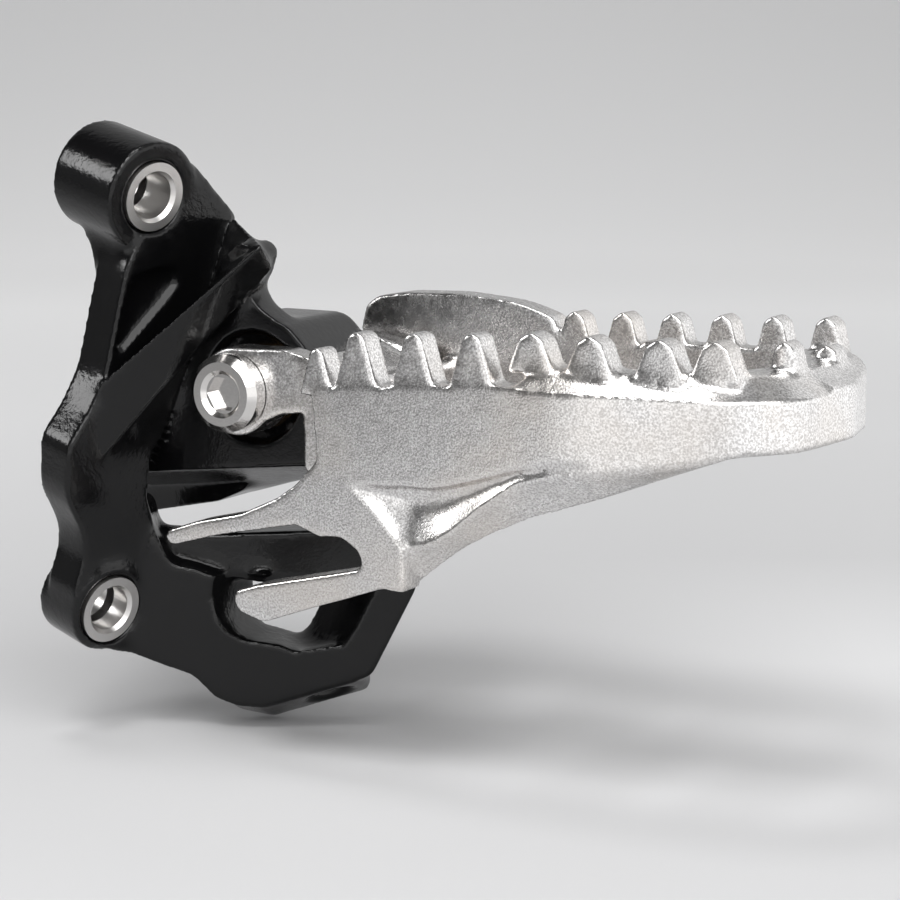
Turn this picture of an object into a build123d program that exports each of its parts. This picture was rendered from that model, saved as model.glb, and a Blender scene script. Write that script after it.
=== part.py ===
from build123d import *
from math import cos, radians, sin, sqrt, tan
import os

# Folding rally foot peg on its cast bracket, in millimetres.
# The model is laid out round the fold pivot: X runs outboard along the level peg,
# Y is the pivot axis with the bolt head at -Y, and Z is up.
# At the end everything is moved so that the upper mounting bore is the origin.

# Running clearances
side_play = 0.3
running_fit = 0.05
seat_gap = 0.3

# Corners below this radius are flats
small_corner = 2.0

# Fold pivot
bolt_radius = 4.0
bolt_head_radius = 7.2
bolt_head_height = 4.0
bolt_head_chamfer = 1.3
hex_width = 6.0
hex_depth = 2.6
hex_ring_radius = 4.4
lug_half_width = 11.0
lug_pocket_depth = 2.6
lug_pocket_radius = 10.6
lug_top = 12.5
bush_wall = 1.6
bush_flange_radius = 7.6
bush_flange = 1.2
bush_gap = 1.8
ear_radius = 8.2
ear_thickness = 6.0
washer_radius = 7.4
washer_thickness = 1.2
nut_width = 13.0
nut_height = 6.5
bolt_stick_out = 1.2

# Mounting bores, bored along one oblique axis
boss_toe = 14.0
boss_drop = 12.7
upper_boss_face = (-15.1, -20.2, 35.3)
lower_boss_face = (-24.8, -23.3, -42.5)
upper_boss_length = 17.0
lower_boss_length = 11.0
upper_boss_radius = 10.2
lower_boss_radius = 8.4
collar_radius = 6.5
collar_gap = 2.2
collar_bore_radius = 4.3
collar_chamfer = 0.6
collar_proud = 0.4
spot_face_radius = 6.9
spot_face_depth = 0.5
boss_reach = 12.0

# Cast bracket
web_point = (-23.1, -16.5, -42.5)
web_turn = 30.0
web_depth = 12.0
plate_depth = 8.5
pocket_depth = 1.8
gusset_half_width = 5.0
tie_recess = 3.6
crest_top = (4.3, -13.9, 26.8)
crest_low = (-22.8, -28.6, -13.3)
valley_top = (-11.0, -1.5, 31.0)
valley_low = (-21.6, -29.8, 1.5)
nose_foot = (3.0, -8.0, 22.0)
flank_low = (-21.0, -12.0, -18.0)
foot_tilt = 28.2
foot_turn = -27.2
foot_edge_start = (23.3, -20.7)
foot_edge_end = (41.0, -15.5)
foot_thickness = 12.5
foot_hole_share = 0.68
foot_thread_radius = 4.25
foot_thread_length = 9.0
foot_chamfer = 0.8
foot_spot_margin = 2.0

# Foot peg casting
rail_outer = 26.0
rail_wall = 6.0
tip_x = 111.5
arch_radius = 15.6
cross_wall_x = 21.5
cross_wall_top = 3.5
stop_x = 14.8
stop_low = -13.0
near_tooth_start = 31.6
near_tooth_pitch = 11.5
near_tooth_height = 9.2
near_tooth_width = 8.6
round_teeth_at = [(64.2, -22.6), (75.0, -22.2), (87.2, -20.8), (96.2, -18.6)]
round_tooth_tip = 15.6
round_tooth_valley = 9.4
tip_teeth_at = [(103.2, -6.3, 14.4), (104.6, 9.2, 12.2)]
far_tooth_start = 50.6
far_tooth_pitch = 9.9
far_tooth_tip = 14.8
far_tooth_valley = 7.7
tooth_length = 5.6
crown_base = 5.6
crown_top = 9.4
crown_inset = 5.0
crown_shelf = 3.6
shelf_base = 2.4
undercut = [
    (31.0, -13.1, -13.9, None, 0.3),
    (36.0, -12.7, -18.0, None, 2.2),
    (41.4, -12.4, -23.8, -30.6, 3.0),
    (46.7, -12.3, -22.4, -26.3, 3.0),
    (50.6, -11.5, -20.0, -23.5, 2.8),
    (55.8, -10.0, -15.5, -20.6, 2.3),
    (63.3, -7.7, -10.2, -17.2, 1.6),
    (70.7, -6.0, -8.3, -14.6, 1.1),
    (77.5, -5.7, -7.5, -12.3, 0.7),
    (84.5, -5.2, -5.9, -9.3, 0.3),
    (91.4, -3.7, -4.1, -7.0, 0.1),
    (100.0, -1.6, -2.2, -4.4, 0.1),
]

# Derived places
pocket_floor = lug_half_width - lug_pocket_depth
ear_inner = pocket_floor + bush_flange + side_play
ear_outer = lug_half_width + side_play + ear_thickness
boss_axis = Vector(
    cos(radians(boss_toe)) * cos(radians(boss_drop)),
    -sin(radians(boss_toe)) * cos(radians(boss_drop)),
    -sin(radians(boss_drop)),
)
foot_axis = Vector(
    sin(radians(foot_tilt)) * cos(radians(foot_turn)),
    sin(radians(foot_tilt)) * sin(radians(foot_turn)),
    -cos(radians(foot_tilt)),
)
web_along = Vector(cos(radians(web_turn)), sin(radians(web_turn)), 0)
foot_rise = Vector(0, 0, foot_edge_end[1] - foot_edge_start[1])
foot_run = web_along * (foot_edge_end[0] - foot_edge_start[0]) + foot_rise
foot_back = foot_run.cross(foot_axis).normalized()
web_normal = Vector(sin(radians(web_turn)), -cos(radians(web_turn)), 0)
web_plane = Plane(origin=web_point, x_dir=web_along, z_dir=web_normal)
foot_corner = web_plane.from_local_coords(Vector(foot_edge_start[0], foot_edge_start[1], 0))
foot_hole = foot_corner + foot_run * foot_hole_share + foot_back * (foot_thickness / 2)
boss_across = Vector(0, 0, 1).cross(boss_axis).normalized()
column_normal = boss_across.cross(Vector(*upper_boss_face) - Vector(*lower_boss_face)).normalized()
column_plane = Plane(origin=upper_boss_face, x_dir=boss_across, z_dir=column_normal)
bosses = {
    "upper": (Vector(*upper_boss_face), upper_boss_length),
    "lower": (Vector(*lower_boss_face), lower_boss_length),
}
upper_bore_middle = Vector(*upper_boss_face) - boss_axis * (upper_boss_length / 2)


def rounded_face(points, radii):
    """A closed outline with an arc at each corner, or a flat where the corner is small."""
    if not isinstance(radii, list):
        radii = [radii] * len(points)
    corners = [Vector(*point) for point in points]
    count = len(corners)
    stops = []
    for i, corner in enumerate(corners):
        back = corners[i - 1] - corner
        ahead = corners[(i + 1) % count] - corner
        half_turn = radians(180 - back.get_angle(ahead)) / 2
        reach = min(radii[i] * tan(half_turn), 0.49 * back.length, 0.49 * ahead.length)
        if reach < 0.02:
            stops.append((corner, None, corner))
            continue
        radius = reach / tan(half_turn)
        start = corner + back.normalized() * reach
        end = corner + ahead.normalized() * reach
        if radius < small_corner:
            stops.append((start, None, end))
            continue
        inward = (back.normalized() + ahead.normalized()).normalized()
        middle = corner + inward * (radius / cos(half_turn) - radius)
        stops.append((start, middle, end))
    edges = []
    for i, (start, middle, end) in enumerate(stops):
        if middle is not None:
            edges.append(ThreePointArc(start, middle, end))
        elif (end - start).length > 0:
            edges.append(Line(start, end))
        edges.append(Line(end, stops[(i + 1) % count][0]))
    return make_face(edges)


def side_profile(points, radii, y_from, y_to):
    """A closed X-Z outline with rounded corners, as a solid between two Y values."""
    plane = Plane(origin=(0, y_from, 0), x_dir=(1, 0, 0), z_dir=(0, -1, 0))
    return extrude(plane * rounded_face(points, radii), amount=y_to - y_from, dir=(0, 1, 0))


def flat_outline(plane, points, radii):
    return plane * rounded_face(points, radii)


def rod(start, direction, radius, length):
    """A cylinder from a start point along a direction."""
    return extrude(Plane(origin=start, z_dir=direction) * Circle(radius), amount=length)


def column_plate():
    """Plate square to the mounting bores: upper boss, column beside the opening and lower boss."""
    left = [(-5.4, -12.7), (-7.2, -22), (-9.2, -33), (-12.3, -39.2), (-17.0, -45.5), (-16.9, -55)]
    left = left + [(-11.2, -65), (-14, -74), (-12.5, -83), (-3, -87.3)]
    right = [(2, -88.6), (2, -79), (6, -67.8), (2.6, -57.5), (2.6, -50), (12, -27), (21, -5), (6.5, 8.4)]
    radii = [12, 20, 20, 8, 5, 10, 12, 10, 9, 4] + [0, 0, 3, 2.5, 0, 0, 2, 4]
    plate = extrude(flat_outline(column_plane, left + right, radii), amount=plate_depth, dir=-boss_axis)
    upper = rod(upper_boss_face, -boss_axis, upper_boss_radius, upper_boss_length)
    lower = rod(lower_boss_face, -boss_axis, lower_boss_radius, lower_boss_length)
    pocket = [(-3.6, -14.5), (3.5, -13.4), (9.0, -14.4), (4.4, -19.6), (-2.6, -26.0)]
    pocket = pocket + [(-7.6, -30.4), (-6.4, -26), (-5.6, -21)]
    dish = extrude(flat_outline(column_plane, pocket, 1.5), amount=pocket_depth, dir=-column_normal)
    return plate + upper + lower + boss_gusset() - dish


def boss_gusset():
    """Sloping web under the inner end of the upper boss."""
    plane = Plane(origin=upper_boss_face, x_dir=-boss_axis, z_dir=boss_across)
    reach = upper_boss_length
    outline = [(1, 0), (reach, 0), (reach, 6.0), (plate_depth + 1.5, 12.5)]
    outline = outline + [(plate_depth - 0.5, 17), (plate_depth - 0.5, 20), (1, 20)]
    flip = 1 if plane.y_dir.Z < 0 else -1
    face = flat_outline(plane, [(back, flip * down) for back, down in outline], [0, 0, 4, 6, 2, 0, 0])
    start = face.moved(Location(boss_across * -gusset_half_width))
    return extrude(start, amount=gusset_half_width * 2, dir=boss_across)


def under(a, b, c):
    """Everything below the plane through three points."""
    normal = (Vector(*b) - Vector(*a)).cross(Vector(*c) - Vector(*a)).normalized()
    if normal.Z < 0:
        normal = -normal
    return Plane(origin=a, z_dir=normal) * Box(200, 200, 60, align=(Align.CENTER, Align.CENTER, Align.MAX))


def diagonal_rib():
    """Rib from the lower left of the column to the nose above the pivot."""
    top = Polyline(crest_top, valley_top, nose_foot, close=True)
    low = Polyline(crest_low, valley_low, flank_low, close=True)
    return loft([make_face(top), make_face(low)], ruled=True)


def nose():
    """Rounded end of the rib, blended down on to the lug."""
    outline = [(-8, 22), (-0.8, 27.4), (2.1, 25.4), (0.6, 21), (-1.0, 18.4), (1.0, 15.2)]
    outline = outline + [(6.4, lug_top - 0.5), (2, 8), (-12, 8)]
    body = side_profile(outline, [2, 2, 2.0, 3, 3, 5, 0, 0, 0], -lug_half_width, -4.5)
    tip = [(-8, 22), (-0.8, 27.4), (2.1, 25.4), (0.6, 21), (-3, 19)]
    return body + side_profile(tip, [2, 2, 2, 1, 1], crest_top[1] + 0.5, -4.5)


def lug():
    """Knuckle that carries the pivot, between the two ears of the peg."""
    outline = [(-24, 2), (-8, lug_top), (7, lug_top), (12.0, 7.6), (14.0, 1.0), (stop_x, -5), (stop_x, stop_low)]
    outline = outline + [(11, -16.6), (-2.3, -20.5), (-11.6, -23.4), (-23.3, -26.9), (-36, -29.4), (-38, -10)]
    radii = [4, 6, 6, 8, 6, 1, 3, 6, 10, 10, 3, 3, 3]
    block = side_profile(outline, radii, -lug_half_width, lug_half_width)
    block = block - under((1.3, -lug_half_width, -14.8), (-28.9, -lug_half_width, -18.4), (-11.6, 8.5, -23.6))
    low_web = [(-6, -15), (-10.1, -22.1), (-16.5, -24.9), (-34, -28.6), (-37, -15)]
    block = block + side_profile(low_web, [0, 4, 4, 0, 0], 0, lug_half_width)
    frame_side = Vector(*upper_boss_face) - boss_axis * (plate_depth + 6)
    outboard_side = Box(300, 300, 100, align=(Align.CENTER, Align.CENTER, Align.MIN))
    return block & Plane(origin=frame_side, z_dir=boss_axis) * outboard_side


def lower_loop():
    """Turned web below the peg: runs outboard from the lower boss round the window."""
    outline = [(-2, -9.8), (4.5, -12.4), (10, -14.3), (14.3, -18.8), (18.9, -20.6), foot_edge_start, foot_edge_end]
    outline = outline + [(44.2, -14.6), (53.0, 3.0), (53.5, 11.5), (44, 12), (45.8, 4.8), (14.2, 5.4)]
    outline = outline + [(10.5, 6.8), (6.0, 7.6), (2.8, 15), (1.8, 19.4), (-2, 19.8)]
    radii = [0, 10, 6, 4, 5, 2, 2, 4, 8, 4, 2, 0, 0, 2, 4, 6, 2.5, 0]
    web = extrude(flat_outline(web_plane, outline, radii), amount=web_depth, dir=-web_normal)
    front = [(14.2, 5.4), (13.5, 1.0), (14.4, -2.7), (16.2, -5.3), (19.5, -7.2), (27, -8.4)]
    front = front + [(32.8, -11), (35.3, -11), (38.6, -9.2), (41.5, -4.7), (45.6, 3.6), (45.8, 4.9)]
    back = [(21.2, 4.8), (21.0, 1.0), (21.2, -2.7), (21.6, -4.8), (23, -6.6), (26.5, -7.6)]
    back = back + [(29.1, -8.4), (30.2, -8.2), (31.4, -7), (33.2, -3.6), (36, 2.2), (35.8, 4.6)]
    wide = make_face(Polyline(*front, close=True))
    narrow = make_face(Polyline(*back, close=True))
    window = loft([web_plane.offset(0.01) * wide, web_plane.offset(-web_depth - 0.01) * narrow], ruled=True)
    return web - window


def tie():
    """Recessed bar that closes the loop behind the fork of the peg."""
    outline = [(0, 13.5), (12, 12.5), (50, 14.0), (52, 9.5), (46, 2.2), (26, 2.6), (14, 4.6), (7, 6.8), (1, 7)]
    radii = [2, 6, 4, 2, 2, 8, 6, 3, 3]
    back = web_plane.offset(-tie_recess)
    return extrude(flat_outline(back, outline, radii), amount=web_depth - tie_recess, dir=-web_normal)


def foot():
    """Thick pad under the loop, square to its threaded hole."""
    outline = [(14.3, -18.8), foot_edge_start, foot_edge_end, (42.5, -14.6), (42, -9), (38, -8), (26, -10), (16, -12)]
    face = flat_outline(web_plane, outline, [3, 3, 2, 3, 3, 3, 3, 3])
    return extrude(face, amount=foot_thickness, dir=foot_back)


def bracket():
    body = column_plate() + diagonal_rib() + nose() + lug() + lower_loop() + tie() + foot()
    for face_point, length in bosses.values():
        inner_end = face_point - boss_axis * length
        body = body - rod(inner_end, boss_axis, collar_radius, length)
        body = body - rod(face_point - boss_axis * spot_face_depth, boss_axis, spot_face_radius, boss_reach)
        body = body - rod(inner_end, -boss_axis, spot_face_radius, boss_reach)
    body = body - rod(foot_hole, -foot_axis, foot_thread_radius, foot_thread_length)
    body = body - rod(foot_hole, foot_axis, foot_thread_radius + foot_spot_margin, boss_reach)
    chamfer_cone = Plane(origin=foot_hole, z_dir=-foot_axis) * Cone(
        foot_thread_radius + foot_chamfer, foot_thread_radius, foot_chamfer,
        align=(Align.CENTER, Align.CENTER, Align.MIN),
    )
    body = body - chamfer_cone
    for side in (-1, 1):
        body = body - rod((0, side * pocket_floor, 0), (0, side, 0), lug_pocket_radius, 30)
    return body - rod((0, -20, 0), (0, 1, 0), bolt_radius + running_fit + bush_wall, 40)


def collar(face_point, towards, boss_length):
    """Turned collar: plain bore, chamfered at its outer end."""
    collar_length = (boss_length - collar_gap) / 2
    outline = [
        (collar_bore_radius, -collar_length),
        (collar_radius, -collar_length),
        (collar_radius, collar_proud),
        (collar_bore_radius + collar_chamfer, collar_proud),
        (collar_bore_radius, collar_proud - collar_chamfer * 1.3),
    ]
    section = Plane.XZ * make_face(Polyline(*outline, close=True))
    return Plane(origin=face_point, z_dir=towards) * revolve(section, axis=Axis.Z)


def bush(side):
    """Flanged plain bush for one end of the pivot bore."""
    bore = bolt_radius + running_fit
    sleeve = rod((0, side * pocket_floor, 0), (0, -side, 0), bore + bush_wall, pocket_floor - bush_gap / 2)
    flange = rod((0, side * pocket_floor, 0), (0, side, 0), bush_flange_radius, bush_flange)
    return sleeve + flange - rod((0, -20, 0), (0, 1, 0), bore, 40)


def pivot_bolt():
    under_head = ear_outer + 0.2
    tip = ear_outer + washer_thickness + nut_height + bolt_stick_out
    outline = [
        (0, -under_head - bolt_head_height),
        (bolt_head_radius - bolt_head_chamfer, -under_head - bolt_head_height),
        (bolt_head_radius, -under_head - bolt_head_height + bolt_head_chamfer),
        (bolt_head_radius, -under_head),
        (bolt_radius, -under_head),
        (bolt_radius, tip - 0.8),
        (bolt_radius - 0.8, tip),
        (0, tip),
    ]
    body = revolve(make_face(Polyline(*outline, close=True)), axis=Axis.Y)
    front = Plane(origin=(0, -under_head - bolt_head_height, 0), x_dir=(1, 0, 0), z_dir=(0, 1, 0))
    socket = extrude(front * RegularPolygon(hex_width / sqrt(3), 6), amount=hex_depth)
    ring = front * Cone(hex_ring_radius, hex_ring_radius - 0.8, 0.8, align=(Align.CENTER, Align.CENTER, Align.MIN))
    return body - socket - ring


def far_washer():
    ring = rod((0, ear_outer, 0), (0, 1, 0), washer_radius, washer_thickness)
    return ring - rod((0, 0, 0), (0, 1, 0), bolt_radius + 0.2, 40)


def pivot_nut():
    seat = Plane(origin=(0, ear_outer + washer_thickness, 0), x_dir=(1, 0, 0), z_dir=(0, 1, 0))
    body = extrude(seat * RegularPolygon(nut_width / sqrt(3), 6), amount=nut_height)
    return body - rod((0, 0, 0), (0, 1, 0), bolt_radius, 60)


def near_rail_profile():
    """Side view of the near rail: wall, keel, heel and two-pronged fork."""
    top = [(22.4, 3.4), (41, 4.9), (60, 6.4), (66, crown_base + 0.3), (tip_x + 6, crown_base + 0.3), (tip_x + 6, -2.7)]
    keel = [(100, -3.6), (88, -8.1), (74, -13.5), (59.4, -19.3), (47, -27)]
    heel = [(42.9, -31.6), (36.9, -31.2), (28.3, -34.3), (21.6, -36.6), (11.7, -40.2)]
    slot = [(6, -38.6), (5.2, -35.2), (10.5, -33.4), (32.5, -28.2)]
    slot = slot + [(33, -25.6), (28.6, -22.9), (23.7, -23.2), (19, -21.5)]
    prong = [(1.5, -25.2), (-9.6, -28.4), (-9.9, -25.5), (-2.7, -23)]
    prong = prong + [(7.2, -20.6), (14.9, -17.1), (19.2, -14.1), (23.6, -9.6)]
    radii = [2, 4, 4, 4, 1, 1] + [8, 20, 30, 30, 8] + [2.5, 4, 8, 8, 1.5] + [1.5, 1.0, 3, 1.2, 2.0, 3, 3, 3]
    radii = radii + [8, 1.2, 1.2, 8, 8, 6, 4, 3]
    return side_profile(top + keel + heel + slot + prong, radii, -60, 2)


def far_rail_profile():
    """Side view of the far rail, with the hump over the pivot."""
    top = [(4.0, 7.6), (5.3, 12.8), (8, 14.7), (14, 15.7), (26, 16.1), (39, 15.0), (46.5, 12.6)]
    top = top + [(48.2, far_tooth_valley), (98, far_tooth_valley + 0.6), (105, crown_top), (tip_x, crown_base + 0.6)]
    low = [(tip_x + 6, crown_base), (tip_x + 6, -2.7), (100, -3.6), (70, -7.0), (24, -9.0)]
    low = low + [(14, -9.0), (11, -3.0), (11.0, 4.4), (7.4, 5.4)]
    radii = [1, 2, 3, 12, 30, 30, 3, 2, 6, 3, 2] + [1, 1, 20, 30, 5, 4, 6, 5, 1]
    return side_profile(top + low, radii, -2, 60)


def ring_outline(inset):
    """Plan outline of the peg; the inset moves its near side and its tip inwards."""
    near = -rail_outer + inset
    points = [(-40, near), (74, near), (99, near + 4.5), (tip_x - 2 - inset, near + 14), (tip_x - inset, 6)]
    points = points + [(tip_x - 3 - inset / 2, 20), (tip_x - 10, rail_outer), (-40, rail_outer)]
    return rounded_face(points, [0, 60, 16, 12, 14, 8, 3, 0])


def bay_outline():
    """Plan outline of the open middle of the peg."""
    near = -rail_outer + rail_wall
    inner = [(-40, near), (74, near), (93, near + 5), (100, -6), (tip_x - 6.4, 6)]
    inner = inner + [(99, 16), (95, rail_outer - rail_wall), (-40, rail_outer - rail_wall)]
    return rounded_face(inner, [0, 50, 10, 8, 10, 6, 2, 0])


def shelf_outline():
    """Plan outline of the opening inside the crown, which is wider than the rail below it."""
    near = -rail_outer + rail_wall + crown_shelf
    inner = [(-40, near), (72, near), (90, near + 4), (96.5, -7), (tip_x - 11, 6)]
    inner = inner + [(97, 16), (93, rail_outer - rail_wall), (-40, rail_outer - rail_wall)]
    return rounded_face(inner, [0, 40, 8, 8, 8, 5, 2, 0])


def plan_ring():
    """Plan view of the peg: two rails joined round the tip, open in the middle."""
    return extrude(Plane.XY.offset(-60) * (ring_outline(0) - bay_outline()), amount=100)


def crown():
    """Sloping band that carries the round teeth along the near rail and round the tip."""
    lower = Plane.XY.offset(crown_base) * ring_outline(0)
    upper = Plane.XY.offset(crown_top) * ring_outline(crown_inset)
    shelf = extrude(Plane.XY.offset(shelf_base) * ring_outline(1), amount=crown_base - shelf_base)
    band = loft([lower, upper], ruled=True) + shelf
    band = band - extrude(Plane.XY * shelf_outline(), amount=30)
    near_end = [(58, shelf_base - 1), (66, crown_top + 1), (tip_x + 5, crown_top + 1), (tip_x + 5, shelf_base - 1)]
    return band & side_profile(near_end, 0, -60, rail_outer - 1)


def rail_undercut():
    """Channel below the near wall that runs out towards the tip, with the sloping underside of the keel."""
    face = -rail_outer
    clear = face - 5
    start, run = [], []
    for x, top, crease, bottom, depth in undercut:
        deepest = top - (top - crease) * 0.35
        lip = [(clear, top), (face + depth * 0.85, top - 0.3), (face + depth, deepest), (face + 0.4, crease)]
        if len(start) < 3:
            start.append(section_at(x, lip + [(clear, crease)]))
        if bottom is not None:
            below = bottom - 8
            under_keel = [(face + rail_wall, bottom), (face + rail_wall, below), (clear, below)]
            run.append(section_at(x, lip + under_keel))
    return loft(start, ruled=True) + loft(run, ruled=True)


def section_at(x, points):
    """A closed Y-Z outline at one X."""
    return make_face(Polyline(*[(x, y, z) for y, z in points], close=True))


def tooth(x, base, height, width, y_from, cap):
    """One cleat: tapered block with a rounded cap."""
    half = width / 2
    top = max(cap, width * 0.17)
    points = [(x - half, base - 1), (x - half, base), (x - top, base + height)]
    points = points + [(x + top, base + height), (x + half, base), (x + half, base - 1)]
    return side_profile(points, [0, 0, cap, cap, 0, 0], y_from, y_from + tooth_length)


def near_teeth():
    face = -rail_outer + 0.2
    teeth = [tooth(near_tooth_start - 8.2, 3.0, 7.4, near_tooth_width - 2, face, 1.0)]
    for i in range(3):
        x = near_tooth_start + i * near_tooth_pitch
        teeth.append(tooth(x, 4.4 + 0.6 * i, near_tooth_height, near_tooth_width, face, 1.1))
    return teeth


def round_teeth():
    height = round_tooth_tip - round_tooth_valley
    teeth = [tooth(x, round_tooth_valley - 0.4, height, 8.8, y, 1.9) for x, y in round_teeth_at]
    for x, y, tip in tip_teeth_at:
        teeth.append(tooth(x, round_tooth_valley - 2.4, tip - round_tooth_valley + 2.4, 6.0, y, 1.5))
    return teeth


def far_teeth():
    teeth = []
    for i in range(6):
        x = far_tooth_start + i * far_tooth_pitch
        height = far_tooth_tip - far_tooth_valley + (i - 2.5) * 0.35
        teeth.append(tooth(x, far_tooth_valley, height, 7.0, rail_outer - tooth_length - 0.2, 1.6))
    return teeth


def ears():
    """Ear arms on both sides of the lug, with their discs on the pivot."""
    arm = [(0, ear_radius), (11, 8.4), (cross_wall_x + 2, 5.5), (cross_wall_x + 2, -2), (10, -3.5), (0, -ear_radius)]
    arm_inner = lug_half_width + side_play
    result = []
    for side in (-1, 1):
        low = min(side * arm_inner, side * ear_outer)
        high = max(side * arm_inner, side * ear_outer)
        blade = side_profile(arm, [0, 6, 0, 0, 6, 0], low, high)
        disc = rod((0, side * ear_inner, 0), (0, side, 0), ear_radius, ear_outer - ear_inner)
        result.append(blade + disc)
    return result


def peg():
    ring = plan_ring()
    body = (ring & near_rail_profile()) - rail_undercut()
    body = body + (ring & far_rail_profile()) + crown()
    cross = [(11, 8), (cross_wall_x + 2, cross_wall_top), (cross_wall_x + 2, -14), (stop_x + seat_gap, -14)]
    cross = cross + [(stop_x + seat_gap, -4.9), (13, -4.9)]
    wall = side_profile(cross, [0, 1, 2, 1, 0, 0], -ear_outer, ear_outer)
    wall = wall - rod((0, -40, 0), (0, 1, 0), arch_radius, 80)
    beam = [(cross_wall_x + 1.5, cross_wall_top), (27, cross_wall_top), (27, -14), (cross_wall_x + 1.5, -14)]
    body = body + wall + side_profile(beam, 1, -rail_outer + rail_wall / 2, rail_outer - rail_wall / 2)
    for x in (50, 76):
        rib = side_profile([(x, 3), (x + 5, 3), (x + 5, -5), (x, -5)], 1, -rail_outer + 3, rail_outer - 3)
        body = body + rib
    for ear in ears():
        body = body + ear
    for one in near_teeth() + round_teeth() + far_teeth():
        body = body + one
    return body - rod((0, -40, 0), (0, 1, 0), bolt_radius + running_fit, 80)


parts = {
    "bracket": bracket(),
    "peg": peg(),
    "pivot_bolt": pivot_bolt(),
    "pivot_nut": pivot_nut(),
    "far_washer": far_washer(),
    "near_bush": bush(-1),
    "far_bush": bush(1),
}
for level, (face_point, length) in bosses.items():
    parts[level + "_collar_outer"] = collar(face_point, boss_axis, length)
    parts[level + "_collar_inner"] = collar(face_point - boss_axis * length, -boss_axis, length)

os.makedirs("parts", exist_ok=True)
for name, shape in parts.items():
    export_step(Location(-upper_bore_middle) * shape, "parts/" + name + ".step")
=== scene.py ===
import bmesh, bpy, math
import numpy as np
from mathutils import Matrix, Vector


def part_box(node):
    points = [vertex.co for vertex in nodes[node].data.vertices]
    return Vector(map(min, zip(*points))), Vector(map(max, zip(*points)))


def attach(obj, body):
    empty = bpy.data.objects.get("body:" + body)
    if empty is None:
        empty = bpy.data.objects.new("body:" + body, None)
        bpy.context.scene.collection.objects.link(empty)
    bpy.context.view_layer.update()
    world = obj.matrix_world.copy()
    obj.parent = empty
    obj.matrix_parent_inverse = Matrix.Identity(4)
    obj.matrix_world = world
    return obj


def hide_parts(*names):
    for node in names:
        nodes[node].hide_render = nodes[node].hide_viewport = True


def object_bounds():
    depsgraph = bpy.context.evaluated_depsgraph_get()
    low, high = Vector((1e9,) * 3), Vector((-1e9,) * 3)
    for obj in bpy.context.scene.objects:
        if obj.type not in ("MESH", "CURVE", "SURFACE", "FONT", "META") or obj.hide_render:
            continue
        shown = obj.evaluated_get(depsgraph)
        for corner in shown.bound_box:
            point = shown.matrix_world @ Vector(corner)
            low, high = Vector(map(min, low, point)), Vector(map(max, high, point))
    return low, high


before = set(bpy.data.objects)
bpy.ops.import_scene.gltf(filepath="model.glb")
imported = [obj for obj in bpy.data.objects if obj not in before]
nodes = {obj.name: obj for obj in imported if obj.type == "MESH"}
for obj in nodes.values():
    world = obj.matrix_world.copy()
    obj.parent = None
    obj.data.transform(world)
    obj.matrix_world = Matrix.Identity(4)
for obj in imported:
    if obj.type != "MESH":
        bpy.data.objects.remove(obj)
cad_box = [list(corner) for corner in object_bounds()]
MM = 0.001

# Shared with the solids, in metres: the fold pivot, the line of the mounting bores and the lowest point
PIVOT = Vector((0.0231457, 0.018194, -0.0371687))
TOE, DROP = math.radians(14.0), math.radians(12.7)
BOSS_AXIS = Vector((math.cos(TOE) * math.cos(DROP), -math.sin(TOE) * math.cos(DROP), -math.sin(DROP)))
FLOOR_Z = cad_box[0][2]

# Noise scales of the finishes, in waves per metre, and the spacing of the tool marks
PEEL, NIBS, CLOUD = 900, 2400, 110
GRAIN, MOTTLE, TINT = 2700, 420, 45
STEEL_GRAIN, BOLT_GRAIN, PLATED_GRAIN = 3000, 2400, 1500
TOOL_MARKS = 0.35 * MM

# Castings: most triangles, how far a fillet may fill a corner, and voxel, smoothing rounds and fillet rounds
TRIANGLES = 185000
FILLET_REACH = 1.3 * MM
BRACKET_CASTING = (0.38 * MM, 16, 110)
PEG_CASTING = (0.37 * MM, 14, 50)

# Camera place and line of sight, and the floor directions away from the camera and to its right
CAMERA_PLACE = (0.2843, -0.3721, 0.0279)
CAMERA_LOOK = (-0.493, 0.854, -0.165)
BACKWARD = Vector((-0.4995, 0.8663, 0)).normalized()
RIGHTWARD = Vector((BACKWARD.y, -BACKWARD.x, 0))

# Floor and backdrop: front end, start of the curve, its radius, height and half width
SWEEP_FRONT, SWEEP_BEND, SWEEP_RADIUS, SWEEP_HEIGHT, SWEEP_HALF_WIDTH = -1.6, 0.9, 0.8, 3.0, 3.0

# Studio brightness round the object by compass angle: dark to the front left, bright to the right
STUDIO = [
    (-180, 0.14), (-165, 0.16), (-148, 0.3), (-120, 0.14), (-112, 0.24), (-101, 1.7), (-60, 1.18),
    (-20, 1.85), (60, 1.65), (110, 0.6), (180, 0.14),
]
# Painted light: glow added to the paper for the camera, by distance from the object, as a share of two
# metres
BACKDROP = [(0.04, 0.0), (0.1, 0.06), (0.2, 0.2), (0.38, 0.36), (0.5, 0.36), (0.7, 0.21), (1.0, 0.15)]
BACKDROP_REACH = 2.0

# Lamps: direction from the object, distance, width of the square face and watts
LIT_CENTRE = Vector((0.045, 0.0, -0.035))
LAMPS = {
    "key": ((0.52, -0.56, 0.66), 1.1, 0.95, 10.0),
    "zenith": ((-0.18, -0.02, 0.98), 1.0, 0.25, 1.8),
    "overhead": ((0.1, -0.50, 0.86), 1.0, 0.3, 3.2),
    "left": ((-0.75, -0.47, 0.47), 0.9, 0.28, 1.9),
}


# Shader nodes
def new_material(name):
    material = bpy.data.materials.new(name)
    material.use_nodes = True
    tree = material.node_tree
    shader = tree.nodes["Principled BSDF"]
    coords = tree.nodes.new("ShaderNodeTexCoord").outputs["Object"]
    return material, tree, shader, coords


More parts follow.
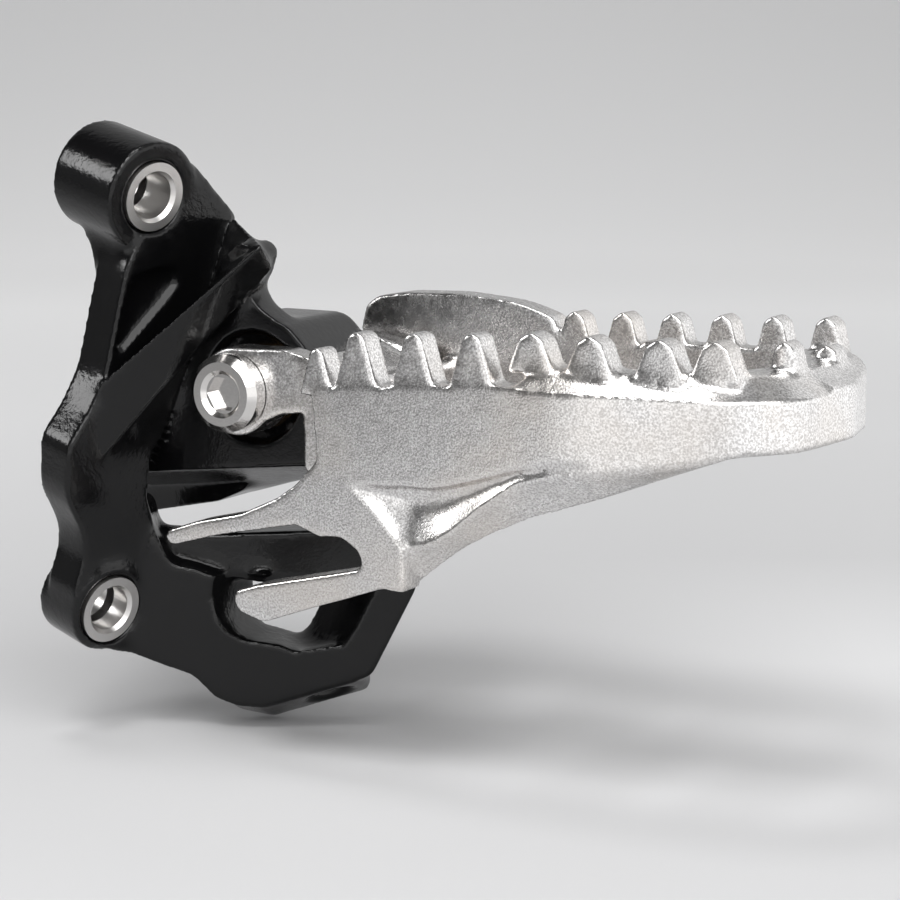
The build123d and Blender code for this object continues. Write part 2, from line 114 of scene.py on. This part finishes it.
def noise(tree, coords, scale, detail=2.0, roughness=0.5):
    node = tree.nodes.new("ShaderNodeTexNoise")
    node.inputs["Scale"].default_value = scale
    node.inputs["Detail"].default_value = detail
    node.inputs["Roughness"].default_value = roughness
    tree.links.new(coords, node.inputs["Vector"])
    return node.outputs["Fac"]


def ramp(tree, value, low, high, out_low, out_high):
    """The value moved from the range low to high to the range out_low to out_high, and kept in it."""
    node = tree.nodes.new("ShaderNodeMapRange")
    for key, number in (("From Min", low), ("From Max", high), ("To Min", out_low), ("To Max", out_high)):
        node.inputs[key].default_value = number
    tree.links.new(value, node.inputs["Value"])
    return node.outputs["Result"]


def stops_ramp(tree, position, stops):
    """Grey value by position from 0 to 1, straight between the stops."""
    node = tree.nodes.new("ShaderNodeValToRGB")
    elements = node.color_ramp.elements
    while len(elements) < len(stops):
        elements.new(0.5)
    for i, (place, value) in enumerate(stops):
        elements[i].position = place
        elements[i].color = (value, value, value, 1)
    tree.links.new(position, node.inputs["Fac"])
    return node.outputs["Color"]


def math_node(tree, operation, *values):
    node = tree.nodes.new("ShaderNodeMath")
    node.operation = operation
    for i, value in enumerate(values):
        if isinstance(value, (int, float)):
            node.inputs[i].default_value = value
        else:
            tree.links.new(value, node.inputs[i])
    return node.outputs[0]


def product(tree, first, *others):
    for value in others:
        first = math_node(tree, "MULTIPLY", first, value)
    return first


def vector_math(tree, operation, a, b=None):
    """Vector result, or the number that DOT_PRODUCT and LENGTH give."""
    node = tree.nodes.new("ShaderNodeVectorMath")
    node.operation = operation
    tree.links.new(a, node.inputs[0])
    if b is not None:
        node.inputs[1].default_value = b
    return node.outputs["Value" if operation in ("DOT_PRODUCT", "LENGTH") else "Vector"]


def bump(tree, height, distance, strength=1.0, below=None):
    node = tree.nodes.new("ShaderNodeBump")
    node.inputs["Distance"].default_value = distance
    node.inputs["Strength"].default_value = strength
    tree.links.new(height, node.inputs["Height"])
    if below is not None:
        tree.links.new(below, node.inputs["Normal"])
    return node.outputs["Normal"]


def mix_color(tree, fac, a, b):
    """Mix of a colour or a colour socket with a colour."""
    node = tree.nodes.new("ShaderNodeMix")
    node.data_type = "RGBA"
    tree.links.new(fac, node.inputs["Factor"])
    if isinstance(a, tuple):
        node.inputs["A"].default_value = (*a, 1)
    else:
        tree.links.new(a, node.inputs["A"])
    node.inputs["B"].default_value = (*b, 1)
    return node.outputs["Result"]


def light_path(tree, name):
    return tree.nodes.new("ShaderNodeLightPath").outputs[name]


def around(tree, vector, stops):
    """Brightness by compass direction, as angle in degrees and value, from -180 to 180, and the height."""
    split = tree.nodes.new("ShaderNodeSeparateXYZ")
    tree.links.new(vector, split.inputs[0])
    angle = math_node(tree, "ARCTAN2", split.outputs["Y"], split.outputs["X"])
    turn = math_node(tree, "MULTIPLY_ADD", angle, 0.5 / math.pi, 0.5)
    shares = [(degrees / 360 + 0.5, value) for degrees, value in stops]
    return stops_ramp(tree, turn, shares), split.outputs["Z"]


# Materials
def powder_coat():
    """Gloss black powder coat: orange peel, fine nibs and slightly uneven gloss."""
    material, tree, shader, coords = new_material("powder_coat")
    link = tree.links.new
    shader.inputs["Base Color"].default_value = (0.003, 0.003, 0.0033, 1)
    shader.inputs["Specular IOR Level"].default_value = 0.34
    peel = bump(tree, noise(tree, coords, PEEL), 0.09 * MM, 0.6)
    nibs = noise(tree, coords, NIBS, 1.0)
    link(bump(tree, nibs, 0.03 * MM, 0.7, peel), shader.inputs["Normal"])
    cloud = noise(tree, coords, CLOUD, 3.0, 0.6)
    link(ramp(tree, cloud, 0.3, 0.7, 0.11, 0.2), shader.inputs["Roughness"])
    return material


def cast_aluminium():
    """Bead-blasted casting: sparkling grain, soft mottling, darker pits and a faint warm cast."""
    material, tree, shader, coords = new_material("cast_aluminium")
    link = tree.links.new
    shader.inputs["Metallic"].default_value = 1.0
    grain = noise(tree, coords, GRAIN, 1.0)
    mottle = noise(tree, coords, MOTTLE, 3.0, 0.6)
    tint = noise(tree, coords, TINT)
    sparkle = ramp(tree, grain, 0.36, 0.64, 0.0, 1.0)
    spots = product(tree, sparkle, ramp(tree, mottle, 0.3, 0.7, 0.7, 1.0))
    cool = mix_color(tree, spots, (0.5, 0.49, 0.485), (0.92, 0.91, 0.905))
    warm = mix_color(tree, ramp(tree, tint, 0.45, 0.65, 0.0, 0.4), cool, (0.74, 0.68, 0.62))
    link(warm, shader.inputs["Base Color"])
    link(ramp(tree, mottle, 0.3, 0.7, 0.2, 0.3), shader.inputs["Roughness"])
    soft = bump(tree, mottle, 0.1 * MM, 0.5)
    link(bump(tree, grain, 0.035 * MM, 0.7, soft), shader.inputs["Normal"])
    return material


def turned_steel(name, origin, axis, roughness):
    """Machined steel: fine circular tool marks about the piece's own axis."""
    material, tree, shader, coords = new_material(name)
    link = tree.links.new
    shader.inputs["Metallic"].default_value = 1.0
    shader.inputs["Base Color"].default_value = (0.68, 0.665, 0.65, 1)
    offset = vector_math(tree, "SUBTRACT", coords, origin)
    radius = vector_math(tree, "LENGTH", vector_math(tree, "CROSS_PRODUCT", offset, axis))
    rings = math_node(tree, "SINE", product(tree, radius, 2 * math.pi / TOOL_MARKS))
    fine = noise(tree, coords, STEEL_GRAIN)
    marks = math_node(tree, "ADD", rings, product(tree, fine, 0.3))
    link(bump(tree, marks, 0.004 * MM, 0.8), shader.inputs["Normal"])
    link(ramp(tree, fine, 0.3, 0.7, roughness - 0.02, roughness + 0.03), shader.inputs["Roughness"])
    return material


def plain_metal(name, color, roughness, grain=PLATED_GRAIN):
    """Polished or plated metal with a slightly uneven gloss."""
    material, tree, shader, coords = new_material(name)
    link = tree.links.new
    shader.inputs["Metallic"].default_value = 1.0
    shader.inputs["Base Color"].default_value = (*color, 1)
    fine = noise(tree, coords, grain)
    link(ramp(tree, fine, 0.3, 0.7, roughness - 0.04, roughness + 0.06), shader.inputs["Roughness"])
    link(bump(tree, fine, 0.01 * MM, 0.5), shader.inputs["Normal"])
    return material


def paper(centre):
    """Pale paper with the lamps' soft shadow and a painted glow for the camera; in mirror rays it glows as
    the bright and dark sides of the studio, a painted reflection.
    """
    material, tree, shader, coords = new_material("paper")
    link = tree.links.new
    shader.inputs["Roughness"].default_value = 0.9
    shader.inputs["Specular IOR Level"].default_value = 0.1
    shader.inputs["Base Color"].default_value = (0.6, 0.6, 0.606, 1)
    offset = vector_math(tree, "SUBTRACT", coords, centre)
    far = vector_math(tree, "LENGTH", offset)
    behind = vector_math(tree, "DOT_PRODUCT", offset, BACKWARD)
    right = vector_math(tree, "DOT_PRODUCT", offset, RIGHTWARD)
    # Painted light: to the camera the paper glows brighter away from the object, but not far in front of it
    backdrop = stops_ramp(tree, product(tree, far, 1 / BACKDROP_REACH), BACKDROP)
    backdrop = product(tree, backdrop, ramp(tree, behind, -0.3, -0.14, 0.0, 1.0))
    # Painted light: the paper glows a little for the camera under the tip of the peg, so that the shadow
    # there stays pale
    painted_light_under_tip = product(
        tree,
        ramp(tree, right, 0.04, 0.12, 0.0, 0.13),
        ramp(tree, right, 0.16, 0.3, 1.0, 0.0),
        ramp(tree, behind, -0.07, -0.01, 0.0, 1.0),
        ramp(tree, behind, 0.05, 0.16, 1.0, 0.0),
    )
    seen = product(tree, math_node(tree, "ADD", backdrop, painted_light_under_tip), light_path(tree, "Is Camera Ray"))
    shader.inputs["Emission Color"].default_value = (1, 1, 1, 1)
    link(seen, shader.inputs["Emission Strength"])
    # Painted reflection: in mirror rays the paper, from a short way out, glows with the studio's brightness
    # by compass angle in place of its lit colour
    studio = tree.nodes.new("ShaderNodeEmission")
    link(around(tree, offset, STUDIO)[0], studio.inputs["Color"])
    reflection_glow_share = product(tree, light_path(tree, "Is Glossy Ray"), ramp(tree, far, 0.18, 0.45, 0.0, 0.7))
    choose = tree.nodes.new("ShaderNodeMixShader")
    link(reflection_glow_share, choose.inputs["Fac"])
    link(shader.outputs["BSDF"], choose.inputs[1])
    link(studio.outputs["Emission"], choose.inputs[2])
    link(choose.outputs["Shader"], tree.nodes["Material Output"].inputs["Surface"])
    return material


# Pieces
def apply_modifiers(piece):
    graph = bpy.context.evaluated_depsgraph_get()
    mesh = bpy.data.meshes.new_from_object(piece.evaluated_get(graph))
    piece.modifiers.clear()
    piece.data = mesh


def vertex_normals(points, quads):
    """Unit normals of a quad mesh, from the diagonals of its faces."""
    face = np.cross(points[quads[:, 2]] - points[quads[:, 0]], points[quads[:, 3]] - points[quads[:, 1]])
    total = np.zeros_like(points)
    for k in range(3):
        for corner in range(4):
            total[:, k] += np.bincount(quads[:, corner], face[:, k], len(points))
    return total / np.maximum(np.linalg.norm(total, axis=1, keepdims=True), 1e-12)


def fill_hollows(mesh, rounds):
    """Casting fillets: inside corners fill up round, outside edges stay as they are."""
    count = len(mesh.vertices)
    points = np.empty(count * 3)
    mesh.vertices.foreach_get("co", points)
    points = points.reshape(-1, 3)
    start = points.copy()
    ends = np.empty(len(mesh.edges) * 2, dtype=np.int32)
    mesh.edges.foreach_get("vertices", ends)
    ends = ends.reshape(-1, 2)
    quads = np.array([tuple(polygon.vertices) for polygon in mesh.polygons if len(polygon.vertices) == 4])
    degree = np.bincount(ends.ravel(), minlength=count)
    for step in range(rounds):
        if step % 8 == 0:
            normals = vertex_normals(points, quads)
        mean = np.empty_like(points)
        for k in range(3):
            mean[:, k] = np.bincount(ends[:, 0], points[ends[:, 1], k], count)
            mean[:, k] += np.bincount(ends[:, 1], points[ends[:, 0], k], count)
        lift = ((mean / degree[:, None] - points) * normals).sum(axis=1)
        moved = points + normals * (np.maximum(lift, 0) * 0.6)[:, None]
        near = np.linalg.norm(moved - start, axis=1) < FILLET_REACH
        points[near] = moved[near]
    mesh.vertices.foreach_set("co", points.ravel())
    mesh.update()


def drop_specks(mesh):
    """Only the largest connected surface stays: the voxel grid leaves specks in the narrowest gaps."""
    shape = bmesh.new()
    shape.from_mesh(mesh)
    islands = []
    left = set(shape.verts)
    while left:
        island = [left.pop()]
        for vertex in island:
            for edge in vertex.link_edges:
                other = edge.other_vert(vertex)
                if other in left:
                    left.remove(other)
                    island.append(other)
        islands.append(island)
    islands.sort(key=len)
    for island in islands[:-1]:
        bmesh.ops.delete(shape, geom=island, context="VERTS")
    shape.to_mesh(mesh)
    shape.free()


def cast_copy(node, body, name, casting, material):
    """A cast piece with the solid's shape and softly rounded edges and corners."""
    voxel, rounds, fillets = casting
    piece = bpy.data.objects.new(name, nodes[node].data.copy())
    bpy.context.scene.collection.objects.link(piece)
    remesh = piece.modifiers.new("remesh", "REMESH")
    remesh.mode = "VOXEL"
    remesh.voxel_size = voxel
    smooth = piece.modifiers.new("smooth", "SMOOTH")
    smooth.factor = 0.5
    smooth.iterations = rounds
    apply_modifiers(piece)
    fill_hollows(piece.data, fillets)
    triangles = sum(len(polygon.vertices) - 2 for polygon in piece.data.polygons)
    thin = piece.modifiers.new("thin", "DECIMATE")
    thin.ratio = min(1.0, TRIANGLES / triangles)
    apply_modifiers(piece)
    drop_specks(piece.data)
    piece.data.materials.clear()
    piece.data.materials.append(material)
    for polygon in piece.data.polygons:
        polygon.use_smooth = True
    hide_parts(node)
    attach(piece, body)


def repaint(node, material):
    data = nodes[node].data
    if data.materials:
        data.materials[0] = material
    else:
        data.materials.append(material)


def repaint_collars():
    for level in ("upper", "lower"):
        low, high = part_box(level + "_collar_outer")
        steel = turned_steel("collar_steel_" + level, (low + high) / 2, BOSS_AXIS, 0.32)
        for end in ("outer", "inner"):
            repaint(level + "_collar_" + end, steel)


def repaint_pivot():
    repaint("pivot_bolt", plain_metal("bolt_steel", (0.7, 0.685, 0.67), 0.13, BOLT_GRAIN))
    repaint("pivot_nut", plain_metal("nut_plating", (0.5, 0.5, 0.49), 0.3))
    repaint("far_washer", plain_metal("washer_plating", (0.52, 0.52, 0.5), 0.28))
    bronze = plain_metal("bronze", (0.42, 0.27, 0.13), 0.35)
    repaint("near_bush", bronze)
    repaint("far_bush", bronze)


# Stage, lamps, world and camera
def sweep():
    """Floor that turns up into a backdrop behind the object, as one curved sheet."""
    centre = Vector((PIVOT.x, PIVOT.y, FLOOR_Z))
    rows = [(SWEEP_FRONT, 0.0), (SWEEP_BEND, 0.0)]
    for i in range(1, 17):
        angle = math.radians(90 * i / 16)
        rows.append((SWEEP_BEND + SWEEP_RADIUS * math.sin(angle), SWEEP_RADIUS * (1 - math.cos(angle))))
    rows.append((SWEEP_BEND + SWEEP_RADIUS, SWEEP_HEIGHT))
    points, faces = [], []
    for along, up in rows:
        for across in (-SWEEP_HALF_WIDTH, SWEEP_HALF_WIDTH):
            points.append(centre + BACKWARD * along + RIGHTWARD * across + Vector((0, 0, up)))
    for i in range(len(rows) - 1):
        faces.append((2 * i, 2 * i + 1, 2 * i + 3, 2 * i + 2))
    mesh = bpy.data.meshes.new("sweep")
    mesh.from_pydata(points, [], faces)
    for polygon in mesh.polygons:
        polygon.use_smooth = True
    sheet = bpy.data.objects.new("sweep", mesh)
    bpy.context.scene.collection.objects.link(sheet)
    mesh.materials.append(paper(centre))


def lamp(name, direction, distance, size, power):
    """Square soft lamp that looks at the object."""
    data = bpy.data.lights.new(name, "AREA")
    data.energy = power
    data.size = size
    light = bpy.data.objects.new(name, data)
    bpy.context.scene.collection.objects.link(light)
    towards = Vector(direction).normalized()
    light.location = LIT_CENTRE + towards * distance
    light.rotation_euler = (-towards).to_track_quat("-Z", "Y").to_euler()


def studio_world():
    """The studio's bright and dark sides, fading upwards, and stronger where metal and gloss mirror them."""
    world = bpy.data.worlds.new("world")
    world.use_nodes = True
    tree = world.node_tree
    direction = tree.nodes.new("ShaderNodeTexCoord").outputs["Generated"]
    color, height = around(tree, direction, STUDIO)
    background = tree.nodes["Background"]
    tree.links.new(color, background.inputs["Color"])
    level = ramp(tree, light_path(tree, "Is Glossy Ray"), 0.0, 1.0, 0.46, 0.85)
    fade = ramp(tree, height, 0.15, 0.6, 1.0, 0.3)
    tree.links.new(product(tree, level, fade), background.inputs["Strength"])
    bpy.context.scene.world = world


def photo_camera():
    data = bpy.data.cameras.new("camera")
    data.lens = 100
    data.sensor_width = 36
    data.clip_end = 20
    camera = bpy.data.objects.new("camera", data)
    bpy.context.scene.collection.objects.link(camera)
    camera.location = CAMERA_PLACE
    camera.rotation_euler = Vector(CAMERA_LOOK).to_track_quat("-Z", "Y").to_euler()
    bpy.context.scene.camera = camera


cast_copy("bracket", "carrier", "bracket_casting", BRACKET_CASTING, powder_coat())
cast_copy("peg", "foot_peg", "peg_casting", PEG_CASTING, cast_aluminium())
repaint_collars()
repaint_pivot()
sweep()
for name, (direction, distance, size, power) in LAMPS.items():
    lamp(name, direction, distance, size, power)
studio_world()
photo_camera()
bpy.context.scene.view_settings.view_transform = "Standard"
